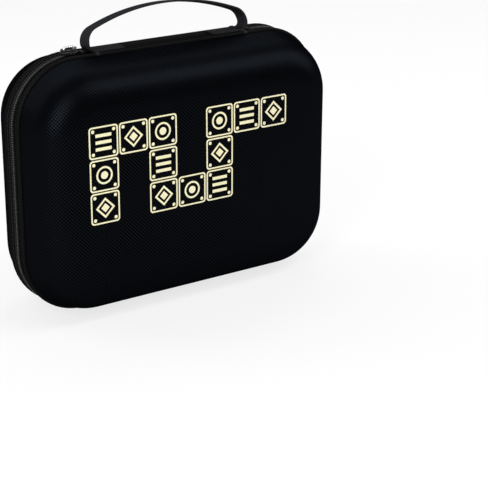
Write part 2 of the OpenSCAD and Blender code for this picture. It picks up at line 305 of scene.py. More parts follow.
# %% The case's cloths
shell_cloth = cloth("shell basket weave", basket(2.3), 0.0, 0.0008, gloss=0.0043, roughness=0.36,
                    lift=0.16 * mm, tint=BLUISH, polish=0.25, contrast=2.6)
piping_cloth = cloth("piping weave", ribs(0.9, 1.1), 0.001, 0.005, gloss=0.0045)
# painted highlight: the folded lap is the piping's own cloth, coloured several times lighter as if lit
lap_cloth_painted_lighter = cloth("folded piping", ribs(0.9, 1.1), 0.01, 0.03)
tape_cloth = cloth("zip tape herringbone", herringbone(0.7, 1.4), 0.001, 0.0045, gloss=0.003)
lining_cloth = cloth("brushed lining", ribs(0.9, 0.45), 0.004, 0.012, gloss=0.001, sheen=0.06,
                     roughness=0.9)
seam_cloth = cloth("seam tape weave", herringbone(0.7, 1.8), 0.004, 0.014)
strip_cloth = cloth("hinge cloth", ribs(0.9, 0.9), 0.0012, 0.007, gloss=0.003)
webbing_cloth = cloth("handle webbing", herringbone(1.5, 2.75), 0.004, 0.02, gloss=0.014,
                      lift=0.2 * mm, tint=(0.95, 0.97, 1.1))
elastic_cloth = cloth("ribbed elastic", ribs(1.6, 0.5), 0.006, 0.022, gloss=0.006, lift=0.2 * mm)
net_cloth = cloth("net yarn", ribs(0.4, 0.3), 0.006, 0.02, gloss=0.01, source="Object")
thread_cloth = cloth("sewing thread", ribs(0.35, 0.9), 0.01, 0.035, gloss=0.01, source="Object")
print("cloths made:", len(bpy.data.materials))

# %% [markdown]
# ## Hard finishes
# The coil is nylon wire. The slider's arch is plated bright, its body and pull
# are lacquered black, and the stops are dull crimped metal. The print is a matt
# cream ink that lets the weave show, and the tray is moulded foam.

# %% Nylon, metal, ink and foam
HEAD_AT = 1.0
CREAM = ((0.86, 0.80, 0.50, 1.0), (0.95, 0.90, 0.62, 1.0))
CREAM_IN_GAPS = (0.5, 0.44, 0.25, 1.0)


def nylon():
    """Dark wire whose heads, a millimetre from the middle of the zip, carry a painted highlight."""
    finish = Finish("coil nylon", Specular_IOR_Level=0.4)
    vector, _, v, _ = finish.place()
    cloud = finish.speckle(vector, 0.4)
    off_head = finish.maths("ABSOLUTE", finish.maths("ABSOLUTE", v) - HEAD_AT)
    # painted highlight: the heads' colour is lifted where they would glint
    painted_head_glint = (1.4 - off_head * 3.0 + cloud * 0.3).clamp()
    finish.set("Base Color", finish.blend(painted_head_glint, grey(0.0015), grey(0.055)))
    finish.set("Roughness", cloud * 0.1 + 0.22)
    finish.relief(finish.speckle(vector, 3.0), 0.01 * mm)
    return finish.material


def metal(name, base, rough, wear):
    """Metal with cloudy wear and fine scratches."""
    finish = Finish(name, Metallic=1.0)
    vector = finish.place()[0]
    cloud = finish.speckle(vector, 0.5, detail=4.0)
    scratch = finish.speckle(vector, 6.0)
    finish.set("Base Color", finish.blend(cloud, grey(base), grey(base * 0.82)))
    finish.set("Roughness", cloud * wear + rough)
    finish.relief(scratch * 0.5 + cloud * 0.5, 0.012 * mm)
    return finish.material


def ink():
    finish = Finish("cream ink", Roughness=0.55, Specular_IOR_Level=0.35)
    vector, u, _, w = finish.place()
    thread = basket(2.2)(u, w)
    cream = finish.blend(finish.speckle(vector, 0.12), *CREAM)
    finish.set("Base Color", finish.blend((0.35 - thread * 0.5).clamp(), cream, CREAM_IN_GAPS))
    finish.relief(thread, 0.04 * mm)
    return finish.material


def foam():
    finish = Finish("moulded foam", Roughness=0.85, Specular_IOR_Level=0.25)
    vector = finish.place()[0]
    pore = finish.node("ShaderNodeTexVoronoi", None, (vector,), Scale=1.3)
    cloud = finish.speckle(vector, 0.06)
    finish.set("Base Color", finish.blend(cloud * 0.6 + pore * 0.4, grey(0.008), grey(0.02)))
    finish.relief(pore, 0.08 * mm)
    return finish.material


coil_nylon = nylon()
arch_metal = metal("plated zinc", 0.72, 0.08, 0.10)
body_metal = metal("black lacquered zinc", 0.03, 0.16, 0.14)
stop_metal = metal("dull stop metal", 0.05, 0.35, 0.2)
print_ink = ink()
tray_foam = foam()
print("materials made:", len(bpy.data.materials))

# %% [markdown]
# ## The rim's outline
# Nearly every soft part of the case is a section carried round one rounded
# rectangle. A station of the outline is a point and the direction that looks out
# from it; a section point is then `out` away along that direction. The way runs
# counter-clockwise, seen from the front.

# %% Stations along the rim
CORNER_STEPS = 16
EDGE_STEP = 3.2 * mm


def arc(x, z, radius, first, last, steps):
    """Points round a centre from one angle to another, both ends with them."""
    angles = [first + (last - first) * i / steps for i in range(steps + 1)]
    return [(x + radius * math.cos(a), z + radius * math.sin(a)) for a in angles]


def straight(first, last, look):
    """Stations from one point to another, the last one left out."""
    steps = max(1, round(math.dist(first, last) / EDGE_STEP))
    return [((first[0] + (last[0] - first[0]) * i / steps,
              first[1] + (last[1] - first[1]) * i / steps), look) for i in range(steps)]


def corner(cx, cz, turn):
    """Stations round a corner that starts at a quarter turn, the last one left out."""
    looks = arc(0, 0, 1, turn * math.pi / 2, (turn + 1) * math.pi / 2, CORNER_STEPS)[:-1]
    return [((cx + corner_r * look[0], cz + corner_r * look[1]), look) for look in looks]


def rim_way(start, end):
    """Stations from x = start on the top, round the bottom, to x = end on the top."""
    x, z, rx, rz = side_x, side_z, rim_w / 2, rim_h / 2
    way = straight((start, rz), (-x, rz), (0, 1)) + corner(-x, z, 1)
    way += straight((-rx, z), (-rx, -z), (-1, 0)) + corner(-x, -z, 2)
    way += straight((-x, -rz), (x, -rz), (0, -1)) + corner(x, -z, 3)
    way += straight((rx, -z), (rx, z), (1, 0)) + corner(x, z, 0)
    if end < x:
        way += straight((x, rz), (end, rz), (0, 1)) + [((end, rz), (0, 1))]
    return way


def spot(station, out, depth, side):
    """The point of a section in the row frame. side is -1 for the front, 1 for the back."""
    (x, z), (look_x, look_z) = station
    return Vector((x + look_x * out, side * depth, rim_mid + z + look_z * out))


whole_rim = rim_way(side_x, side_x)
print("stations round the rim:", len(whole_rim))

# %% [markdown]
# ## Meshes by hand
# A few helpers build every mesh. `swept` carries a section along a way: one row
# of vertices for each station, faces between the rows, and a UV map in metres
# that runs along the way and round the section, so that a weave follows the
# piece round its corners. `block` closes a stack of equal rings.

# %% Objects and meshes
def linked(name, data):
    """A new object in the scene."""
    made = bpy.data.objects.new(name, data)
    bpy.context.scene.collection.objects.link(made)
    return made


def new_piece(name, mesh_data, material, smooth=True):
    """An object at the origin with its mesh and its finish."""
    piece = linked(name, mesh_data)
    piece.data.materials.clear()
    piece.data.materials.append(material)
    if smooth:
        for face in piece.data.polygons:
            face.use_smooth = True
    return piece


def mesh_of(name, bm):
    """Turns a bmesh into a mesh whose faces point outwards."""
    bmesh.ops.recalc_face_normals(bm, faces=bm.faces)
    data = bpy.data.meshes.new(name)
    bm.to_mesh(data)
    bm.free()
    return data


# %% Faces
def add_face(bm, corners, uv_layer):
    """A face from corners that are each a vertex and its place on the flat cloth."""
    face = bm.faces.new([vert for vert, flat in corners])
    for loop, (vert, flat) in zip(face.loops, corners):
        loop[uv_layer].uv = flat


def grid_faces(bm, rows, uv_layer):
    """Faces between the rows of a grid of such corners."""
    for first, second in zip(rows, rows[1:]):
        for j in range(len(first) - 1):
            add_face(bm, (first[j], second[j], second[j + 1], first[j + 1]), uv_layer)


def bridge(bm, first, second):
    """Faces between two closed rings of vertices."""
    count = len(first)
    return [bm.faces.new((first[i], first[(i + 1) % count], second[(i + 1) % count], second[i]))
            for i in range(count)]


def block(bm, rings):
    """A closed block through rings of points, capped at both ends."""
    rings = [[bm.verts.new(point) for point in ring] for ring in rings]
    for first, second in zip(rings, rings[1:]):
        bridge(bm, first, second)
    bm.faces.new(rings[0])
    bm.faces.new(rings[-1][::-1])


# %% Sweep
def distances(points):
    """The distance run at each point of a closed line, and back at its first point."""
    run = [0.0]
    for first, second in zip(points, points[1:] + points[:1]):
        run.append(run[-1] + (second - first).length)
    return run


def swept(name, rows, closed=False):
    """A closed mesh from rows of points, each row one section of it."""
    bm = bmesh.new()
    uv_layer = bm.loops.layers.uv.new("cloth")
    verts = [[bm.verts.new(point) for point in row] for row in rows]
    along = distances([row[0] for row in rows])
    across = distances(rows[0])
    count, width = len(rows), len(rows[0])
    grid_faces(bm, [[(verts[i % count][j % width], (along[i], across[j])) for j in range(width + 1)]
                    for i in range(count + 1 if closed else count)], uv_layer)
    if not closed:
        for row in (verts[0], verts[-1]):
            add_face(bm, [(vert, vert.co.xy) for vert in row], uv_layer)
    return mesh_of(name, bm)


def rim_piece(name, section, side, way, material, closed=True):
    """A section carried along a way round the rim."""
    rows = [[spot(station, out, depth, side) for out, depth in section] for station in way]
    piece = new_piece(name, swept(name, rows, closed), material)
    print(name, len(piece.data.polygons), "faces")
    return piece


# %% [markdown]
# ## The moulded shells
# Each half of the real case is a sheet of foam with its cloth already glued on,
# pressed hot over a mould. It has a drafted wall, a wide round edge and a nearly
# flat face. A loft of rings round the outline gives the wall and the edge, and
# goes on over the face as smaller rings until a plain rectangle is left, which a
# grid fills. The cloth was flat before it was moulded, so its UV map is the
# shell unrolled from the face outwards. The face keeps a slight crown and the
# faint waves that moulded cloth has.

# %% A layer's section
WALL_STEPS = 6
EDGE_STEPS = 14
FACE_RINGS = 4
FOOT_ROLL = ((-0.95, 0.03), (-0.55, 0.12), (-0.33, 0.45), (-0.29, 1.0))


def layer_profile(t):
    """Section of a layer's surface t below the outside: (out, depth, unrolled length)."""
    arc_r = edge_r - t
    edge = [Vector(p) for p in arc(edge_out, edge_depth, arc_r, draft, math.pi / 2, EDGE_STEPS)]
    foot = Vector((-t / math.cos(draft), band))
    points = [foot.lerp(edge[0], i / WALL_STEPS) for i in range(WALL_STEPS)]
    if t == 0:
        points[:1] = [Vector((out * mm, band + depth * mm)) for out, depth in FOOT_ROLL]
    points += edge
    for i in range(1, FACE_RINGS + 1):
        points.append(Vector((edge_out + (-corner_r - edge_out) * i / FACE_RINGS, face_at - t)))
    lengths = distances(points[::-1])[:-1]
    return [(p.x, p.y, length) for p, length in zip(points, lengths[::-1])]


# %% A layer's surfaces
CROWN = 0.25 * mm
WAVE = 0.12 * mm
WAVES = 38.0


def hollow(point, t):
    """How far a point of the outer cloth lies below the ideal surface."""
    if t > 0:
        return 0.0
    inside = max(0.0, 1 - (point.x / side_x) ** 2) * max(0.0, 1 - ((point.z - rim_mid) / side_z) ** 2)
    return CROWN * (1 - inside) + WAVE * (noise.noise(point * WAVES) * 0.5 + 0.5)


def spaced(last):
    """Numbers from -last to last on the steps of the outline's straight edges."""
    steps = max(1, round(2 * last / EDGE_STEP))
    return [-last + 2 * last * i / steps for i in range(steps + 1)]


def skin(bm, t, side, uv_layer):
    """One surface of a layer, from its foot to the middle of its face. Gives its foot's vertices."""
    def put(point, flat):
        if abs(point.y) > edge_depth:
            point.y -= side * hollow(point, t)
        return bm.verts.new(point), flat

    wall = []
    for station in whole_rim:
        (x, z), look = station
        wall.append([put(spot(station, out, depth, side),
                         (x + look[0] * (length - corner_r), z + look[1] * (length - corner_r)))
                     for out, depth, length in layer_profile(t)])
    grid_faces(bm, wall + wall[:1], uv_layer)
    face = [[put(Vector((x, side * (face_at - t), rim_mid + z)), (x, z)) for z in spaced(side_z)]
            for x in spaced(side_x)]
    grid_faces(bm, face, uv_layer)
    return [row[0][0] for row in wall]


def layer_piece(name, t_out, t_in, side, material):
    """A closed layer of the shell between two depths below its outer cloth."""
    bm = bmesh.new()
    uv_layer = bm.loops.layers.uv.new("cloth")
    for face in bridge(bm, *[skin(bm, t, side, uv_layer) for t in (t_out, t_in)]):
        for loop in face.loops:
            loop[uv_layer].uv = loop.vert.co.xz
    bmesh.ops.remove_doubles(bm, verts=bm.verts, dist=0.001 * mm)
    data = mesh_of(name, bm)
    print(name, len(data.polygons), "faces")
    return new_piece(name, data, material)


# %% Shells and linings
for half, side, body in HALVES:
    shell = layer_piece(f"{half}_shell_cloth", 0.0, shell_t, side, shell_cloth)
    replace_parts(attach(shell, body), f"{half}_shell")
    lining = layer_piece(f"{half}_lining_cloth", shell_t + 0.02 * mm, shell_t + lining_t, side,
                         lining_cloth)
    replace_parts(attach(lining, body), f"{half}_lining")

# %% [markdown]
# ## Piping
# The edge of each shell is bound: a woven tape is folded round a cord and sewn
# down, which leaves a round bead with a hard crease at its foot and a sloping
# flange that runs down to the coil. One swept section makes both.

# %% Beads along both rims
bead_section = [(out * mm, depth * mm) for out, depth in (
    (-0.30, 3.25), (-0.12, 4.25), (0.22, 4.95), (0.72, 5.65), (1.12, 6.3), (1.35, 6.95),
    (1.38, 7.55), (1.16, 8.15), (0.72, 8.6), (0.12, 8.87), (-0.8, 8.97), (-1.75, 8.9),
    (-1.72, 7.4), (-1.4, 6.1), (-0.55, 4.6))]

for half, side, body in HALVES:
    bead = rim_piece(f"{half}_piping", bead_section, side, whole_rim, piping_cloth)
    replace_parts(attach(bead, body), f"{half}_binding")

# %% [markdown]
# ## Laps in the piping
# The piping tape is laid round in lengths, and where the hinge cloth ends the
# next length is folded over the last one. Each lap is a short second skin on the
# bead, nearly half a millimetre proud, which casts the small line seen there.

# %% Laps over the piping
LAP_L = 2.6 * mm
LAP_ROWS = ((-1, 0.3), (-0.86, 0.06), (-0.4, 0.0), (0.4, 0.0), (0.86, 0.06), (1, 0.3))
LAP_INSIDE = -0.4 * mm
lap_section = [(out * mm, depth * mm) for out, depth in (
    (-0.2, 3.6), (0.16, 4.35), (0.56, 4.85), (1.08, 5.45), (1.55, 6.05), (1.82, 6.85),
    (1.85, 7.7), (1.56, 8.5), (1.0, 9.1), (0.3, 9.45), (-0.5, 9.3), (-1.0, 7.6), (-0.8, 5.4))]
strip_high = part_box("hinge_strip")[1]
strip_end = strip_high.x


def lap_rows(x_mid, side):
    """Sections over a lap. Those near its ends draw in on the outside, which rounds the ends."""
    rows = []
    for step, draw in LAP_ROWS:
        station = ((x_mid - step * LAP_L / 2, rim_h / 2), (0, 1))
        rows.append([spot(station, out - draw * mm if out > LAP_INSIDE else out, depth, side)
                     for out, depth in lap_section])
    return rows


for half, side, body in HALVES:
    for end, x_mid in (("left", -strip_end), ("right", strip_end)):
        lap = new_piece(f"{half}_{end}_lap", swept("lap", lap_rows(x_mid, side)), lap_cloth_painted_lighter)
        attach(lap, body)
print("laps at x =", round(strip_end / mm, 1), "mm")

# %% [markdown]
# ## Zip tape and seam tape
# The zip's tape lies flat beside the coil and dives under the piping, where it
# is sewn in. Inside, a second tape covers the raw edges of shell and lining. The
# second tape's section is an ellipse swollen towards a rectangle.

# %% Tapes
SEAM_POINTS = 16
tape_top = -0.3 * mm
tape_t = 0.7 * mm
tape_low = tape_top - tape_t
tape_edge = 0.6 * mm
tape_knee = 4.65 * mm
tape_cut = 0.15 * mm
dip_end = 6.6 * mm
under_bead = bead_proud - bead_t - 0.05 * mm
seam_in = under_bead - tape_t
seam_t = 1.3 * mm
seam_low = 5.2 * mm
seam_high = band - 0.05 * mm


def swollen(value, power):
    """A sine or cosine pushed outwards, which squares a round outline."""
    return math.copysign(abs(value) ** power, value)


tape_section = [
    (tape_top - tape_cut, tape_edge), (tape_top, tape_edge + tape_cut), (tape_top, 2.6 * mm),
    (tape_top, tape_knee), (under_bead, dip_end), (under_bead, band - 0.1 * mm),
    (seam_in, band - 0.1 * mm), (seam_in, dip_end - 0.3 * mm), (tape_low, tape_knee - 0.3 * mm),
    (tape_low, tape_edge + tape_cut), (tape_low + tape_cut, tape_edge)]
seam_section = [(seam_in - 0.05 * mm - seam_t / 2 * (1 - swollen(math.cos(a), 0.5)),
                 (seam_low + seam_high) / 2 + (seam_high - seam_low) / 2 * swollen(math.sin(a), 0.35))
                for a in [TURN * (k + 0.5) / SEAM_POINTS for k in range(SEAM_POINTS)]]
tape_end = strip_end + 0.2 * mm
zip_rim = rim_way(-tape_end, tape_end)

for half, side, body in HALVES:
    tape = rim_piece(f"{half}_zip_cloth", tape_section, side, zip_rim, tape_cloth, False)
    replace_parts(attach(tape, body), f"{half}_zip_tape")
    seam = rim_piece(f"{half}_seam_cloth", seam_section, side, whole_rim, seam_cloth)
    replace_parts(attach(seam, body), f"{half}_seam_tape")

# %% [markdown]
# ## Copies along a line with Geometry Nodes
# A zip coil has hundreds of equal turns, and a seam hundreds of equal stitches.
# One node tree serves both: it resamples a line at a spacing, puts a copy of a
# small object on each point, turned along the line, and makes the copies real.
# A tree is built by name here, and its result is kept as a plain mesh.

# %% Making and using a tree
def new_tree(name, inputs, output):
    """A node tree with named inputs. Gives the tree, its input node and two calls."""
    tree = bpy.data.node_groups.new(name, "GeometryNodeTree")
    for label, kind in inputs:
        tree.interface.new_socket(label, in_out="INPUT", socket_type=f"NodeSocket{kind}")
    tree.interface.new_socket(output, in_out="OUTPUT", socket_type="NodeSocketGeometry")
    return tree, tree.nodes.new("NodeGroupInput"), tree.nodes.new, tree.links.new


def end_tree(given, last, add, link):
    """The last nodes of each tree: real geometry with its finish."""
    real, dress = add("GeometryNodeRealizeInstances"), add("GeometryNodeSetMaterial")
    link(last.outputs[0], real.inputs[0])
    link(real.outputs[0], dress.inputs["Geometry"])
    link(given.outputs["Finish"], dress.inputs["Material"])
    link(dress.outputs[0], add("NodeGroupOutput").inputs[0])


def evaluated_mesh(thing):
    """What an object's modifiers make of it, as a new mesh."""
    bpy.context.view_layer.update()
    return bpy.data.meshes.new_from_object(thing.evaluated_get(bpy.context.evaluated_depsgraph_get()))


def tree_mesh(name, points, edges, tree, values):
    """The plain mesh that a tree makes of a wire of points and edges."""
    wire = bpy.data.meshes.new(name)
    wire.from_pydata(points, edges, [])
    carrier = linked(f"{name}_wire", wire)
    nodes = carrier.modifiers.new(tree.name, "NODES")
    nodes.node_group = tree
    for item in tree.interface.items_tree:
        if item.in_out == "INPUT" and item.name in values:
            nodes[item.identifier] = values[item.name]
    data = evaluated_mesh(carrier)
    bpy.data.objects.remove(carrier)
    print(name, len(edges), "edges,", len(data.polygons), "faces")
    return data


# %% Copies along a line
def copies_tree():
    tree, given, add, link = new_tree("copies along a line", (
        ("Line", "Geometry"), ("Copy", "Object"), ("Spacing", "Float"), ("Across", "Vector"),
        ("Finish", "Material")), "Copies")
    curve, even = add("GeometryNodeMeshToCurve"), add("GeometryNodeResampleCurve")
    even.mode = "LENGTH"
    link(given.outputs["Line"], curve.inputs[0])
    link(curve.outputs[0], even.inputs["Curve"])
    link(given.outputs["Spacing"], even.inputs["Length"])
    tangent, axes = add("GeometryNodeInputTangent"), add("FunctionNodeAxesToRotation")
    axes.primary_axis = "X"
    axes.secondary_axis = "Y"
    link(tangent.outputs[0], axes.inputs["Primary Axis"])
    link(given.outputs["Across"], axes.inputs["Secondary Axis"])
    info, place = add("GeometryNodeObjectInfo"), add("GeometryNodeInstanceOnPoints")
    link(given.outputs["Copy"], info.inputs["Object"])
    link(even.outputs[0], place.inputs["Points"])
    link(info.outputs["Geometry"], place.inputs["Instance"])
    link(axes.outputs[0], place.inputs["Rotation"])
    end_tree(given, place, add, link)
    return tree


along_line = copies_tree()


def copies_along(name, points, copy, spacing, across, material, closed=False):
    """A piece of copies of a small object along a line of points."""
    edges = [(i, i + 1) for i in range(len(points) - 1)]
    if closed:
        edges.append((len(points) - 1, 0))
    values = {"Copy": copy, "Spacing": spacing, "Across": across, "Finish": material}
    return new_piece(name, tree_mesh(name, points, edges, along_line, values), material)


# %% Round bars
def tube(points, radii, steps, closed=False, across=(0, 1, 0)):
    """Rows of points of a round bar that follows a line in one plane, with a radius for each point."""
    rows = []
    count = len(points)
    side = Vector(across)
    for i, point in enumerate(points):
        before = points[(i - 1) % count] if closed or i else point
        after = points[(i + 1) % count] if closed or i < count - 1 else point
        up = (Vector(after) - Vector(before)).cross(side).normalized()
        rows.append([Vector(point) + side * a + up * b
                     for a, b in arc(0, 0, radii[i], 0, TURN, steps)[:-1]])
    return rows


# %% [markdown]
# ## The zip coil
# Each side of a coil zip is one nylon wire wound into flat turns that are sewn
# to the tape. From outside a turn is a bar across the tape with a rounded head
# at the middle of the zip, and the two sides' turns stand half a pitch apart so
# that the heads lock. One turn is modelled, and the tree repeats it.

# %% Turns, their sewing line and both halves
PITCH = 1.5 * mm
coil_start = -67.1 * mm
coil_end = 61.3 * mm
turn_path = ((2.6, 0.0, 0.26), (2.5, 0.22, 0.26), (1.9, 0.36, 0.28), (1.4, 0.56, 0.34),
             (1.0, 0.7, 0.42), (0.65, 0.56, 0.38), (0.35, 0.3, 0.32), (0.28, 0.0, 0.3))
turn_line = [(0, y * mm, z * mm) for y, z, r in turn_path]
turn_rows = tube(turn_line, [r * mm for y, z, r in turn_path], 7, across=(1, 0, 0))
turn_pattern = linked("coil_turn", swept("coil_turn", turn_rows))
sewing_section = [(out * mm, depth * mm) for out, depth in (
    (0.55, 1.45), (0.76, 1.52), (0.82, 1.75), (0.74, 2.0), (0.52, 2.05))]

for (half, side, body), shift in zip(HALVES, (0.0, PITCH / 2)):
    way = rim_way(coil_start - shift, coil_end + shift)
    turns = copies_along(f"{half}_zip_turns", [spot(station, 0.0, 0.0, 1) for station in way],
                         turn_pattern, PITCH, (0, side, 0), coil_nylon)
    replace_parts(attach(turns, body), f"{half}_zip_coil")
    thread = rim_piece(f"{half}_coil_thread", sewing_section, side, rim_way(coil_start, coil_end),
                       thread_cloth, False)
    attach(thread, body)
bpy.data.objects.remove(turn_pattern)

# %% [markdown]
# ## Hinge cloth
# Along the top the halves are joined by a doubled strip of cloth that is sewn
# under both beads. It folds beside each bead when the case opens, so it is made
# as two halves that meet in the middle.

# %% Both halves of the strip
FOLD = (5.0 * mm, 7.2 * mm)
strip_t = 0.8 * mm
strip_top = strip_high.z - rim_top
strip_section = [
    (strip_top, 0.0), (strip_top, 2.6 * mm), (strip_top - 0.02 * mm, 4.6 * mm),
    (strip_top - 0.35 * mm, 5.35 * mm), (under_bead, 6.7 * mm), (under_bead, band - 0.1 * mm),
    (under_bead - strip_t, band - 0.1 * mm), (under_bead - strip_t, 6.5 * mm),
    (-strip_top, 4.9 * mm), (-strip_top, 2.4 * mm), (-strip_top, 0.0)]
top_way = straight((strip_end, rim_h / 2), (-strip_end, rim_h / 2), (0, 1))
top_way.append(((-strip_end, rim_h / 2), (0, 1)))

for half, side, pair in (("front", -1, ("spine", "lid")), ("back", 1, ("back", "spine"))):
    rows = [[spot(station, out, depth, side) for out, depth in strip_section] for station in top_way]
    strip = new_piece(f"{half}_hinge_cloth", swept("hinge", rows), strip_cloth)
    near, far = [Vector((0, side * depth, rim_top)) for depth in FOLD]
    start, end = (near, far) if half == "front" else (far, near)
    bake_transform(strip)
    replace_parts(strip, "hinge_strip")
print("hinge cloth", round(2 * strip_end / mm, 1), "mm long")

# %% [markdown]
# ## The handle
# One length of webbing: its ends lie flat on the hinge strip, turn up in a tight
# bend and run over in a flattened arch that leans back. The line is built from
# the same arcs as the solid, and the section is a flat bar with round edges.

# %% The webbing's sizes
webbing_w = 11 * mm
webbing_t = 1.4 * mm
tails_low, tails_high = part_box("handle_tails")
strip_z = tails_low.z
tail_l = 21 * mm
bend_r = 4 * mm
tail_x = tails_high.x
loop_x = tail_x + bend_r
side_r = 9.7 * mm
leg_z = bend_r + webbing_t / 2 + 0.3 * mm
loop_z = 23.9 * mm
lean_full = math.radians(11)
lean_pivot = 2 * mm
side_cx = loop_x - side_r
loop_h = loop_z - leg_z
top_r = (side_cx ** 2 + loop_h ** 2 - side_r ** 2) / (2 * (loop_h - side_r))
join_a = math.atan2(top_r - loop_h, side_cx)
print("webbing arch radius", round(top_r / mm, 1), "mm")

# %% The webbing's line and section
TAIL_STEPS, BEND_STEPS, SIDE_STEPS, TOP_STEPS, FLAT_STEPS = 8, 10, 16, 24, 5
BEND_LEAN = 0.65
FULL_LEAN_AT = math.radians(18)


def half_line():
    """Points (x, height, share of the lean) from the tail's end to the loop's top."""
    line = [(tail_x - tail_l * (1 - i / TAIL_STEPS), webbing_t / 2, 0.0) for i in range(TAIL_STEPS)]
    bend = arc(tail_x, bend_r + webbing_t / 2, bend_r, -math.pi / 2, 0, BEND_STEPS)[:-1]
    line += [(x, h, BEND_LEAN * i / BEND_STEPS) for i, (x, h) in enumerate(bend)]
    leg = arc(side_cx, leg_z, side_r, 0, join_a, SIDE_STEPS)[:-1]
    line += [(x, h, min(1.0, BEND_LEAN + (1 - BEND_LEAN) * join_a * i / SIDE_STEPS / FULL_LEAN_AT))
             for i, (x, h) in enumerate(leg)]
    return line + [(x, h, 1.0) for x, h in arc(0, loop_z - top_r, top_r, join_a, math.pi / 2, TOP_STEPS)]


def webbing_section():
    """The bar's outline, rounded at both edges: (across, through)."""
    r = webbing_t / 2
    flat = webbing_w / 2 - r
    top = [(-flat + 2 * flat * i / FLAT_STEPS, r) for i in range(FLAT_STEPS + 1)]
    right = arc(flat, 0, r, math.pi / 4, -math.pi / 4, 2)
    return top + right + [(-x, -y) for x, y in top + right]


def handle_rows():
    """Sections along the webbing, square to its line, each with its own lean."""
    right = half_line()
    line = [(-x, h, share) for x, h, share in right] + right[-2::-1]
    rows = []
    for i, (x, h, share) in enumerate(line):
        x0, h0, _ = line[max(0, i - 1)]
        x1, h1, _ = line[min(len(line) - 1, i + 1)]
        ahead = Vector((x1 - x0, h1 - h0)).normalized()
        lean = Matrix.Rotation(-lean_full * share, 3, "X")
        row = []
        for across, through in webbing_section():
            point = Vector((x - ahead.y * through, across, h + ahead.x * through - lean_pivot))
            row.append(lean @ point + Vector((0, 0, strip_z + lean_pivot)))
        rows.append(row)
    return rows


webbing = new_piece("handle_webbing", swept("webbing", handle_rows()), webbing_cloth)
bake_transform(webbing)
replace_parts(webbing, "handle_tails", "handle_legs", "handle_strap")
print("webbing", len(webbing.data.polygons), "faces")

# %% [markdown]
# ## Stitches
# A stitch is a short piece of thread that dips at both ends. Rows of them hold
# the webbing's ends in a box with a cross, and run beside the piping.

# %% Stitch pattern and rows
STITCH = 2.6 * mm
PIPING_STITCH = 2.9 * mm
PIPING_SEAM = (0.47 * mm, 5.3 * mm)
BOX_X, BOX_Y = 7.5 * mm, 3.9 * mm
stitch_line = [(x * mm, 0, z * mm) for x, z in (
    (-0.95, -0.22), (-0.7, 0.02), (0, 0.1), (0.7, 0.02), (0.95, -0.22))]
stitch_rows = tube(stitch_line, [0.2 * mm] * len(stitch_line), 6)
stitch_pattern = linked("stitch", swept("stitch", stitch_rows))


def box_routes(x_mid):
    """Round the box once, then over its two diagonals."""
    a, b, c, d = [Vector((x_mid + sx * BOX_X, sy * BOX_Y, strip_z + webbing_t))
                  for sx, sy in ((-1, -1), (1, -1), (1, 1), (-1, 1))]
    return [[a, b, c, d, a], [a, c], [b, d]]


for label, sign in (("left", -1), ("right", 1)):
    for number, route in enumerate(box_routes(sign * (tail_x - tail_l / 2))):
        row = copies_along(f"{label}_box_stitch_{number}", route, stitch_pattern, STITCH, (0, 0, 1),
                           thread_cloth)
        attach(row, "spine")

for half, side, body in HALVES:
    route = [spot(station, *PIPING_SEAM, side) for station in whole_rim]
    row = copies_along(f"{half}_piping_stitches", route, stitch_pattern, PIPING_STITCH, (0, side, 0),
                       thread_cloth, closed=True)
    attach(row, body)
bpy.data.objects.remove(stitch_pattern)

# %% [markdown]
# ## Slider, bridge and pull
# The slider is a small die casting: two plates joined by a wedge, with flanges
# that hold the coil, and an arched bridge on top that carries an oval ring. The
# plates are outlines with a bevel, and the arch and the ring are swept bars.

# %% Plates with rounded edges
PLATE_POINTS = 32
PLATE_POWER = 0.62
TAIL_NARROWS = 0.10


def plate_outline(length, width):
    """A shield: round shoulders at the wide end, a narrower tail."""
    points = []
    for a in [TURN * (k + 0.5) / PLATE_POINTS for k in range(PLATE_POINTS)]:
        x = length / 2 * swollen(math.cos(a), PLATE_POWER)
        narrow = 1 - TAIL_NARROWS * max(0.0, -x / (length / 2))
        points.append((x, width / 2 * swollen(math.sin(a), PLATE_POWER) * narrow))
    return points


def box_outline(length, width, y=0.0):
    x, half = length / 2, width / 2
    return [(-x, y - half), (x, y - half), (x, y + half), (-x, y + half)]


def slab(bm, outline, x_mid, low, high):
    """A closed slab between two heights."""
    block(bm, [[(x_mid + x, y, z) for x, y in outline] for z in (low, high)])


def soften(piece, width, segments, angle):
    """A live bevel on every edge sharper than an angle in degrees."""
    rounding = piece.modifiers.new("rounding", "BEVEL")
    rounding.width = width
    rounding.segments = segments
    rounding.limit_method = "ANGLE"
    rounding.angle_limit = math.radians(angle)
    rounding.harden_normals = True


# %% Slider body
METAL_EDGE = 40
plate_t = 0.95 * mm
sunk = 0.1 * mm
wedge_l, wedge_w, wedge_in = 2 * mm, 0.9 * mm, 2.4 * mm
lip_l, lip_t = 5 * mm, 0.8 * mm
body_low, body_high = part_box("slider_body")
slider_mid = (body_low.x + body_high.x) / 2
slider_l = body_high.x - body_low.x
slider_w = body_high.y - body_low.y
under_plate = body_high.z - plate_t
over_plate = body_low.z + plate_t

slider_bm = bmesh.new()
slab(slider_bm, plate_outline(slider_l, slider_w), slider_mid, under_plate, body_high.z)
slab(slider_bm, plate_outline(slider_l - 2 * mm, slider_w), slider_mid, body_low.z, over_plate)
slab(slider_bm, box_outline(wedge_l, wedge_w), slider_mid + slider_l / 2 - wedge_in,
     over_plate - sunk, under_plate + sunk)
for sign in (-1, 1):
    lip = box_outline(lip_l, lip_t, sign * (slider_w - lip_t) / 2)
    slab(slider_bm, lip, slider_mid, rim_top + 0.2 * mm, under_plate + sunk)
slider = new_piece("zip_slider", mesh_of("zip_slider", slider_bm), body_metal)
soften(slider, 0.28 * mm, 3, METAL_EDGE)
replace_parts(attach(slider, "slider"), "slider_body")
print("slider", round(slider_l / mm, 1), "by", round(slider_w / mm, 1), "mm")

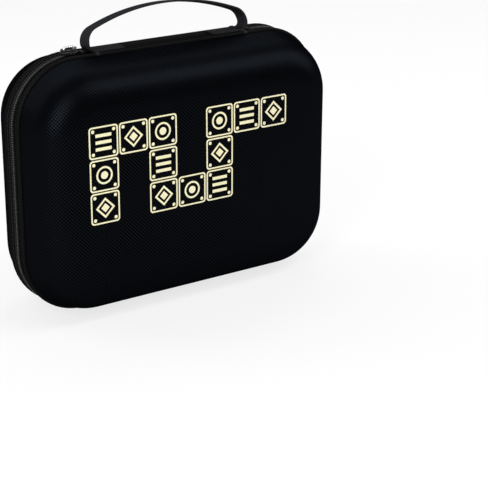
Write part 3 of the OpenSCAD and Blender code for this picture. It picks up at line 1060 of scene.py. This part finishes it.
# %% Bridge
bar_t = 1.1 * mm
bar_w = 1.8 * mm
shoulder = 1.6 * mm
bridge_low, bridge_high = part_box("slider_bridge")
arch_x0, arch_x1 = bridge_low.x + bar_t / 2, bridge_high.x - bar_t / 2
shoulder_z = bridge_high.z - bar_t / 2 - shoulder
arch_foot = bridge_low.z - sunk
arch = [(arch_x0, arch_foot), *arc(arch_x0 + shoulder, shoulder_z, shoulder, math.pi, math.pi / 2, 6),
        *arc(arch_x1 - shoulder, shoulder_z, shoulder, math.pi / 2, 0, 6), (arch_x1, arch_foot)]


def bar_rows(points, width, thick, kept=0.7):
    """Rows of a rectangular bar with cut corners, bent in the XZ plane."""
    rows = []
    w, t = width / 2, thick / 2
    shape = [(w, -t * kept), (w, t * kept), (w * kept, t), (-w * kept, t)]
    shape += [(-across, -through) for across, through in shape]
    for i, (x, z) in enumerate(points):
        (x0, z0), (x1, z1) = points[max(0, i - 1)], points[min(len(points) - 1, i + 1)]
        ahead = Vector((x1 - x0, z1 - z0)).normalized()
        rows.append([Vector((x - ahead.y * through, across, z + ahead.x * through))
                     for across, through in shape])
    return rows


bridge_arch = new_piece("slider_arch", swept("arch", bar_rows(arch, bar_w, bar_t)), arch_metal)
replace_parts(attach(bridge_arch, "slider"), "slider_bridge")
print("bridge", len(bridge_arch.data.polygons), "faces")

# %% Pull ring
ring_low, ring_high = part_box("pull_ring")
wire_r = (ring_high.z - ring_low.z) / 2
ring_z = (ring_high.z + ring_low.z) / 2
ring_r = (ring_high.y - ring_low.y) / 2 - wire_r
ring_x0, ring_x1 = ring_low.x + wire_r + ring_r, ring_high.x - wire_r - ring_r
ring_line = [(x, y, ring_z) for x, y in arc(ring_x1, 0, ring_r, -math.pi / 2, math.pi / 2, 12)
             + arc(ring_x0, 0, ring_r, math.pi / 2, math.pi * 1.5, 12)]
ring_rows = tube(ring_line, [wire_r] * len(ring_line), 12, closed=True, across=(0, 0, 1))
ring = new_piece("pull_wire", swept("ring", ring_rows, True), body_metal)
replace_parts(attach(ring, "pull"), "pull_ring")
print("ring", len(ring.data.polygons), "faces")

# %% [markdown]
# ## Zip stops
# The stops are small strips of metal crimped over the coil: a bent plate with
# two feet, not a block.

# %% Crimped stops
CRIMP_T = 0.6 * mm

for node, body, name in (("front_top_stop", "lid", "front_stop_crimp"),
                         ("back_top_stop", "back", "back_stop_crimp"),
                         ("bottom_stop", "back", "bottom_stop_crimp")):
    low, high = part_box(node)
    stop_bm = bmesh.new()
    stop_l, stop_x = high.x - low.x, (low.x + high.x) / 2
    stop_top = box_outline(stop_l, high.y - low.y, (high.y + low.y) / 2)
    slab(stop_bm, stop_top, stop_x, high.z - CRIMP_T, high.z)
    for foot_y in (low.y + CRIMP_T / 2, high.y - CRIMP_T / 2):
        slab(stop_bm, box_outline(stop_l, CRIMP_T, foot_y), stop_x, low.z, high.z - CRIMP_T / 2)
    stop = new_piece(name, mesh_of(name, stop_bm), stop_metal)
    soften(stop, 0.18 * mm, 2, METAL_EDGE)
    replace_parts(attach(stop, body), node)
    print(name, round(stop_l / mm, 1), "mm long")

# %% [markdown]
# ## Foam tray
# The tray is one sheet of foam, moulded over a deep well with a finger scoop
# above and below. Edges could be pushed down by hand, but solids that are joined
# and cut keep the sheet at one thickness: each well is joined one sheet larger,
# and then its inside is cut out. A soft bevel rounds the edges as a mould does.

# %% Tray sizes
tray_low, tray_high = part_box("foam_tray")
tray_top = tray_low.y
tray_wall = 3 * mm
well_w = rim_w - 2 * 19 * mm
well_h = rim_h - 2 * 28 * mm
well_r = 4 * mm
well_bottom = tray_high.y - tray_wall
scoop_r = 11 * mm
scoop_bottom = tray_top + 19.5 * mm
tray_gap_t = shell_t + lining_t + 0.3 * mm
into_sheet = tray_top + 0.5 * mm
above_sheet = tray_top - 5 * mm
print("well", round(well_w / mm, 1), "by", round(well_h / mm, 1), "mm")


# %% The sheet and its cutters
def rounded_rectangle(half_w, half_h, radius):
    points = []
    for quarter, (sx, sz) in enumerate(((1, 1), (-1, 1), (-1, -1), (1, -1))):
        points += arc(sx * (half_w - radius), sz * (half_h - radius), radius,
                      quarter * math.pi / 2, (quarter + 1) * math.pi / 2, 8)
    return points


def prism(outline, y0, y1):
    """A closed prism along Y from an outline in the XZ plane."""
    bm = bmesh.new()
    block(bm, [[(x, y, rim_mid + z) for x, z in outline] for y in (y0, y1)])
    return linked("cutter", mesh_of("cutter", bm))


def wall_out(depth):
    """Where the tray's outer side lies at a depth, from the rim's outline."""
    arc_r = edge_r - tray_gap_t
    if depth <= edge_depth + arc_r * math.sin(draft):
        return -tray_gap_t / math.cos(draft) - max(0.0, depth - band) * math.tan(draft)
    rise = min(1.0, (depth - edge_depth) / arc_r)
    return edge_out + arc_r * math.sqrt(max(0.0, 1 - rise * rise))


def boolean(target, other, operation):
    """Joins or cuts a block with another one, which is used up."""
    cut = target.modifiers.new("cut", "BOOLEAN")
    cut.operation = operation
    cut.object = other
    cut.solver = "EXACT"
    result = evaluated_mesh(target)
    target.modifiers.clear()
    target.data = result
    bpy.data.objects.remove(other)


# %% Tray
tray_bm = bmesh.new()
block(tray_bm, [[spot(station, wall_out(depth), depth, 1) for station in whole_rim]
                for depth in (tray_top, tray_top + tray_wall / 2, tray_top + tray_wall)])
tray_block = linked("tray_block", mesh_of("tray", tray_bm))
for operation, start, grown in (("UNION", into_sheet, tray_wall), ("DIFFERENCE", above_sheet, 0.0)):
    well = rounded_rectangle(well_w / 2 + grown, well_h / 2 + grown, well_r + grown)
    boolean(tray_block, prism(well, start, well_bottom + grown), operation)
    for sign in (-1, 1):
        scoop = arc(0, sign * well_h / 2, scoop_r + grown, 0, TURN, 40)[:-1]
        boolean(tray_block, prism(scoop, start, scoop_bottom + grown), operation)
tray = new_piece("moulded_tray", tray_block.data, tray_foam)
bpy.data.objects.remove(tray_block)
soften(tray, 1.1 * mm, 4, 50)
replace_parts(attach(tray, "back"), "foam_tray")
print("tray faces", len(tray.data.polygons))

# %% [markdown]
# ## Net pocket and its elastic
# The lid has a pocket of knitted net, with an elastic along its mouth. The net is
# real geometry: a honeycomb of edges, worked out in Python and cut at the rim,
# that Geometry Nodes sweep into yarn.

# %% Honeycomb
CELL = 2.1 * mm
YARN = 0.36 * mm
NET_SAG = 0.25 * mm
NET_WAVES = 9.0
net_low, net_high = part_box("mesh_pocket")
net_y = (net_low.y + net_high.y) / 2
net_h = net_high.z - net_low.z
inside_r = corner_r + seam_in - seam_t - 0.1 * mm


def inside_rim(x, z):
    """Whether a point lies within the pocket's outline."""
    dx, dz = max(0.0, abs(x) - side_x), max(0.0, abs(z - rim_mid) - side_z)
    return dx * dx + dz * dz < inside_r * inside_r and z < net_high.z


def net_sag(x, z):
    """The net waves a little towards the lid between its edges."""
    return NET_SAG * math.cos(x / (rim_w / 2) * NET_WAVES) * math.sin((z - net_low.z) / net_h * math.pi)


def honeycomb():
    """Points and edges of a hexagon net over the pocket."""
    points, edges, found = [], [], {}

    def put(x, z):
        key = (round(x / mm, 3), round(z / mm, 3))
        if key not in found:
            found[key] = len(points)
            points.append((x, net_y + net_sag(x, z), z))
        return found[key]

    wide, high = CELL * math.sqrt(3), CELL * 1.5
    for row in range(int(net_h / high) + 2):
        for column in range(int(rim_w / wide) + 2):
            x, z = -rim_w / 2 + (column + 0.5 * (row % 2)) * wide, net_low.z + row * high
            ring = arc(x, z, CELL, math.pi / 2, math.pi / 2 - TURN, 6)
            for first, second in zip(ring, ring[1:]):
                if inside_rim(*first) and inside_rim(*second):
                    edges.append(tuple(sorted((put(*first), put(*second)))))
    return points, sorted(set(edges))


net_points, net_edges = honeycomb()
print("net points", len(net_points), "and edges", len(net_edges))


# %% Yarn
def yarn_tree():
    tree, given, add, link = new_tree("yarn along edges", (
        ("Net", "Geometry"), ("Yarn radius", "Float"), ("Finish", "Material")), "Yarn")
    split, curve = add("GeometryNodeSplitEdges"), add("GeometryNodeMeshToCurve")
    round_yarn, sweep = add("GeometryNodeCurvePrimitiveCircle"), add("GeometryNodeCurveToMesh")
    round_yarn.inputs["Resolution"].default_value = 5
    sweep.inputs["Fill Caps"].default_value = True
    link(given.outputs["Net"], split.inputs[0])
    link(split.outputs[0], curve.inputs[0])
    link(given.outputs["Yarn radius"], round_yarn.inputs["Radius"])
    link(curve.outputs[0], sweep.inputs["Curve"])
    link(round_yarn.outputs[0], sweep.inputs["Profile Curve"])
    end_tree(given, sweep, add, link)
    return tree


net_mesh = tree_mesh("net", net_points, net_edges, yarn_tree(), {"Yarn radius": YARN, "Finish": net_cloth})
net = new_piece("pocket_net", net_mesh, net_cloth)
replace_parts(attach(net, "lid"), "mesh_pocket")

# %% Elastic and the net's flat size
GATHER = 0.18 * mm
GATHER_PITCH = 3.8 * mm
ELASTIC_STEPS = 90
band_gap = 0.2 * mm
band_half_t = 0.45 * mm
band_edge = 0.4 * mm
elastic_low, elastic_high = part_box("pocket_elastic")


def elastic_rows():
    """A flat band with round edges whose face is gathered into fine ribs."""
    rows = []
    half_w = (elastic_high.z - elastic_low.z) / 2
    middle = (elastic_low + elastic_high) / 2
    flat = half_w - band_edge
    front = ((-flat, band_half_t), (0, band_half_t * 0.85), (flat, band_half_t))
    reach = elastic_high.x - elastic_low.x - 2 * band_gap
    for i in range(ELASTIC_STEPS + 1):
        x = elastic_low.x + band_gap + reach * i / ELASTIC_STEPS
        gather = GATHER * math.sin(TURN * x / GATHER_PITCH)
        section = [(-half_w, 0), *[(across, through + gather) for across, through in front],
                   (half_w, 0), *[(across, -through) for across, through in front[::-1]]]
        rows.append([Vector((x, middle.y + through, middle.z + across)) for across, through in section])
    return rows


elastic = new_piece("pocket_band", swept("band", elastic_rows()), elastic_cloth)
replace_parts(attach(elastic, "lid"), "pocket_elastic")

# %% [markdown]
# ## The print
# The lid carries a print in cream ink. This one is a plain pattern made for this
# model: a stepped chain of outlined squares, with diamonds, rings and bars in
# turn. Each mark is a flat outline given a hair of thickness, laid on the face.

# %% Ink
INK_T = 0.05 * mm
INK_SUNK = 0.02 * mm
INK_POINT = 0.02 * mm


def ink_point(x, z, lift):
    ideal = Vector((x, -face_at, z))
    return ideal + Vector((0, hollow(ideal, 0.0) - lift, 0))


def ink_band(bm, outer, inner):
    """A closed band between two outlines with the same number of points."""
    rings = [[bm.verts.new(ink_point(x, z, lift)) for x, z in line] for line, lift in (
        (outer, -INK_SUNK), (outer, INK_T), (inner, INK_T), (inner, -INK_SUNK))]
    for first, second in zip(rings, rings[1:] + rings[:1]):
        bridge(bm, first, second)


def ink_shape(bm, x, z, outer, inner, corners, steps=1):
    """A regular shape, each side cut into steps, with a hole or a point in its middle."""
    lines = []
    for radius in (outer, max(inner, INK_POINT)):
        tips = [Vector(tip) for tip in arc(x, z, radius, 0, TURN, corners)]
        lines.append([first.lerp(second, i / steps) for first, second in zip(tips, tips[1:])
                      for i in range(steps)])
    ink_band(bm, *lines)


def soft_square(x_mid, z_mid, half, radius):
    """A square with rounded corners and a few points along each side."""
    flat = half - radius
    way = [(half, -flat + flat * 2 * i / 5) for i in range(5)]
    way += arc(flat, flat, radius, 0, math.pi / 2, 4)[:-1]
    return [(x_mid + x * c - z * s, z_mid + x * s + z * c)
            for c, s in ((1, 0), (0, 1), (-1, 0), (0, -1)) for x, z in way]


# %% Squares and their marks
SQUARE = 20.6 * mm
LINE = 0.95 * mm
SQUARE_GAP = 0.4 * mm
OUTER_R, INNER_R = 2.0 * mm, 1.4 * mm
DIAMONDS = ((6.6 * mm, 4.9 * mm, 4, 3), (2.9 * mm, 0.0, 4, 2))
RINGS = ((5.6 * mm, 4.4 * mm, 32), (2.4 * mm, 0.0, 24))
BAR_PITCH, BAR_L, BAR_H, BAR_CORE = 4.2 * mm, 5.4 * mm, 1.0 * mm, 4.4 * mm
STUD_AT, STUD_R = 7.1 * mm, 1.1 * mm


def ink_bar(bm, x, z):
    """A bar whose halves meet on its middle line."""
    ink_band(bm, *[[(x + dx * length, z + dz * height)
                    for dx, dz in ((-1, -1), (0, -1), (1, -1), (1, 1), (0, 1), (-1, 1))]
                   for length, height in ((BAR_L, BAR_H), (BAR_CORE, 0.0))])


def print_square(bm, x, z, kind):
    half = SQUARE / 2 - SQUARE_GAP
    ink_band(bm, soft_square(x, z, half, OUTER_R), soft_square(x, z, half - LINE, INNER_R))
    for shape in (DIAMONDS, RINGS, ())[kind]:
        ink_shape(bm, x, z, *shape)
    if kind == 2:
        for step in (-1, 0, 1):
            ink_bar(bm, x, z + step * BAR_PITCH)
    for sx, sz in ((-1, -1), (-1, 1), (1, -1), (1, 1)):
        ink_shape(bm, x + sx * STUD_AT, z + sz * STUD_AT, STUD_R, 0.0, 12)


# %% The chain
PRINT_X = -79.5 * mm
PRINT_Z = 127.5 * mm
CHAIN = ((0, 2), (0, 1), (0, 0), (1, 0), (2, 0), (2, 1), (2, 2), (3, 2), (4, 2), (4, 1), (4, 0),
         (5, 0), (6, 0))

print_bm = bmesh.new()
for number, (column, row) in enumerate(CHAIN):
    print_square(print_bm, PRINT_X + SQUARE * (column + 0.5), PRINT_Z - SQUARE * (row + 0.5), number % 3)
print_piece = new_piece("lid_print", mesh_of("print", print_bm), print_ink, smooth=False)
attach(print_piece, "lid")
print("print faces", len(print_piece.data.polygons))

# %% [markdown]
# ## Floor, light and camera
# The case stands on a white floor in a plain white room. Black cloth shows its
# form by long highlights, so the lamps are soft boxes: one above, one at the
# left for the front's edge, and two behind for the handle, the rim and the back.
# Floor and room are white to the camera, and darker to the cloth's gloss.

# %% Floor and room
FLOOR_REACH = 6.0
FLOOR_GLOW = 0.76
ROOM_LIGHT = 0.32
IN_GLOSS = 0.15


def floor():
    corners = [(x * FLOOR_REACH, y * FLOOR_REACH, 0) for x, y in ((-1, -1), (1, -1), (1, 1), (-1, 1))]
    data = bpy.data.meshes.new("floor")
    data.from_pydata(corners, [], [(0, 1, 2, 3)])
    finish = Finish("white floor", Roughness=0.9, Specular_IOR_Level=0.1)
    finish.set("Base Color", grey(0.8))
    glow = finish.node("ShaderNodeEmission", None, (grey(1.0), 1.0))
    finish.mix_over(finish.seen(IN_GLOSS) * FLOOR_GLOW, glow)
    data.materials.append(finish.material)
    linked("floor", data)


def room():
    world = bpy.data.worlds.new("room")
    bpy.context.scene.world = world
    world.use_nodes = True
    graph = Graph(world.node_tree)
    background = graph.nodes["Background"].inputs
    graph.feed(background["Color"], grey(1.0))
    graph.feed(background["Strength"], graph.seen(IN_GLOSS) * (1.0 - ROOM_LIGHT) + ROOM_LIGHT)


floor()
room()
print("floor and room made")


# %% Lamps
def placed(thing, place, axes):
    """Stands an object at a place, its own axes along three directions."""
    thing.matrix_world = Matrix.Translation(place) @ Matrix(axes).transposed().to_4x4()


def soft_box(name, place, along, size, power):
    """A lamp that looks at the middle of the case, its long side lying along a direction."""
    data = bpy.data.lights.new(name, "AREA")
    data.shape = "RECTANGLE"
    data.size, data.size_y = size
    data.energy = power
    away = Vector(place).normalized()
    long_side = (Vector(along) - away * away.dot(Vector(along))).normalized()
    placed(linked(name, data), Vector((0, 0, rim_mid)) + Vector(place),
           (long_side, away.cross(long_side), away))


soft_box("light_above", (0.96, -0.52, 1.0), (1, 0, -0.1), (2.0, 0.3), 14.2)
soft_box("light_left", (-0.88, -0.68, 0.50), (0.6, -0.05, 0.8), (1.0, 0.24), 8.2)
soft_box("light_behind", (0.15, 0.58, 1.0), (1, 0, 0), (1.7, 0.6), 7.8)
soft_box("light_far_left", (-0.8, 0.85, 0.62), (1, 0, 0.3), (0.8, 0.5), 4.5)
print("lamps:", len(bpy.data.lights))

# %% Camera
camera_place = Vector((-0.4847, -0.7857, 0.3741))
camera_right = Vector((0.82290, -0.56817, 0.00428))
camera_up = Vector((0.19711, 0.29254, 0.93572))
camera_data = bpy.data.cameras.new("camera")
camera_data.sensor_width = 36
camera_data.lens = 110.54
camera = linked("camera", camera_data)
placed(camera, camera_place, (camera_right, camera_up, camera_right.cross(camera_up)))
bpy.context.scene.camera = camera
bpy.context.scene.view_settings.view_transform = "Standard"
print("camera lens", camera_data.lens)
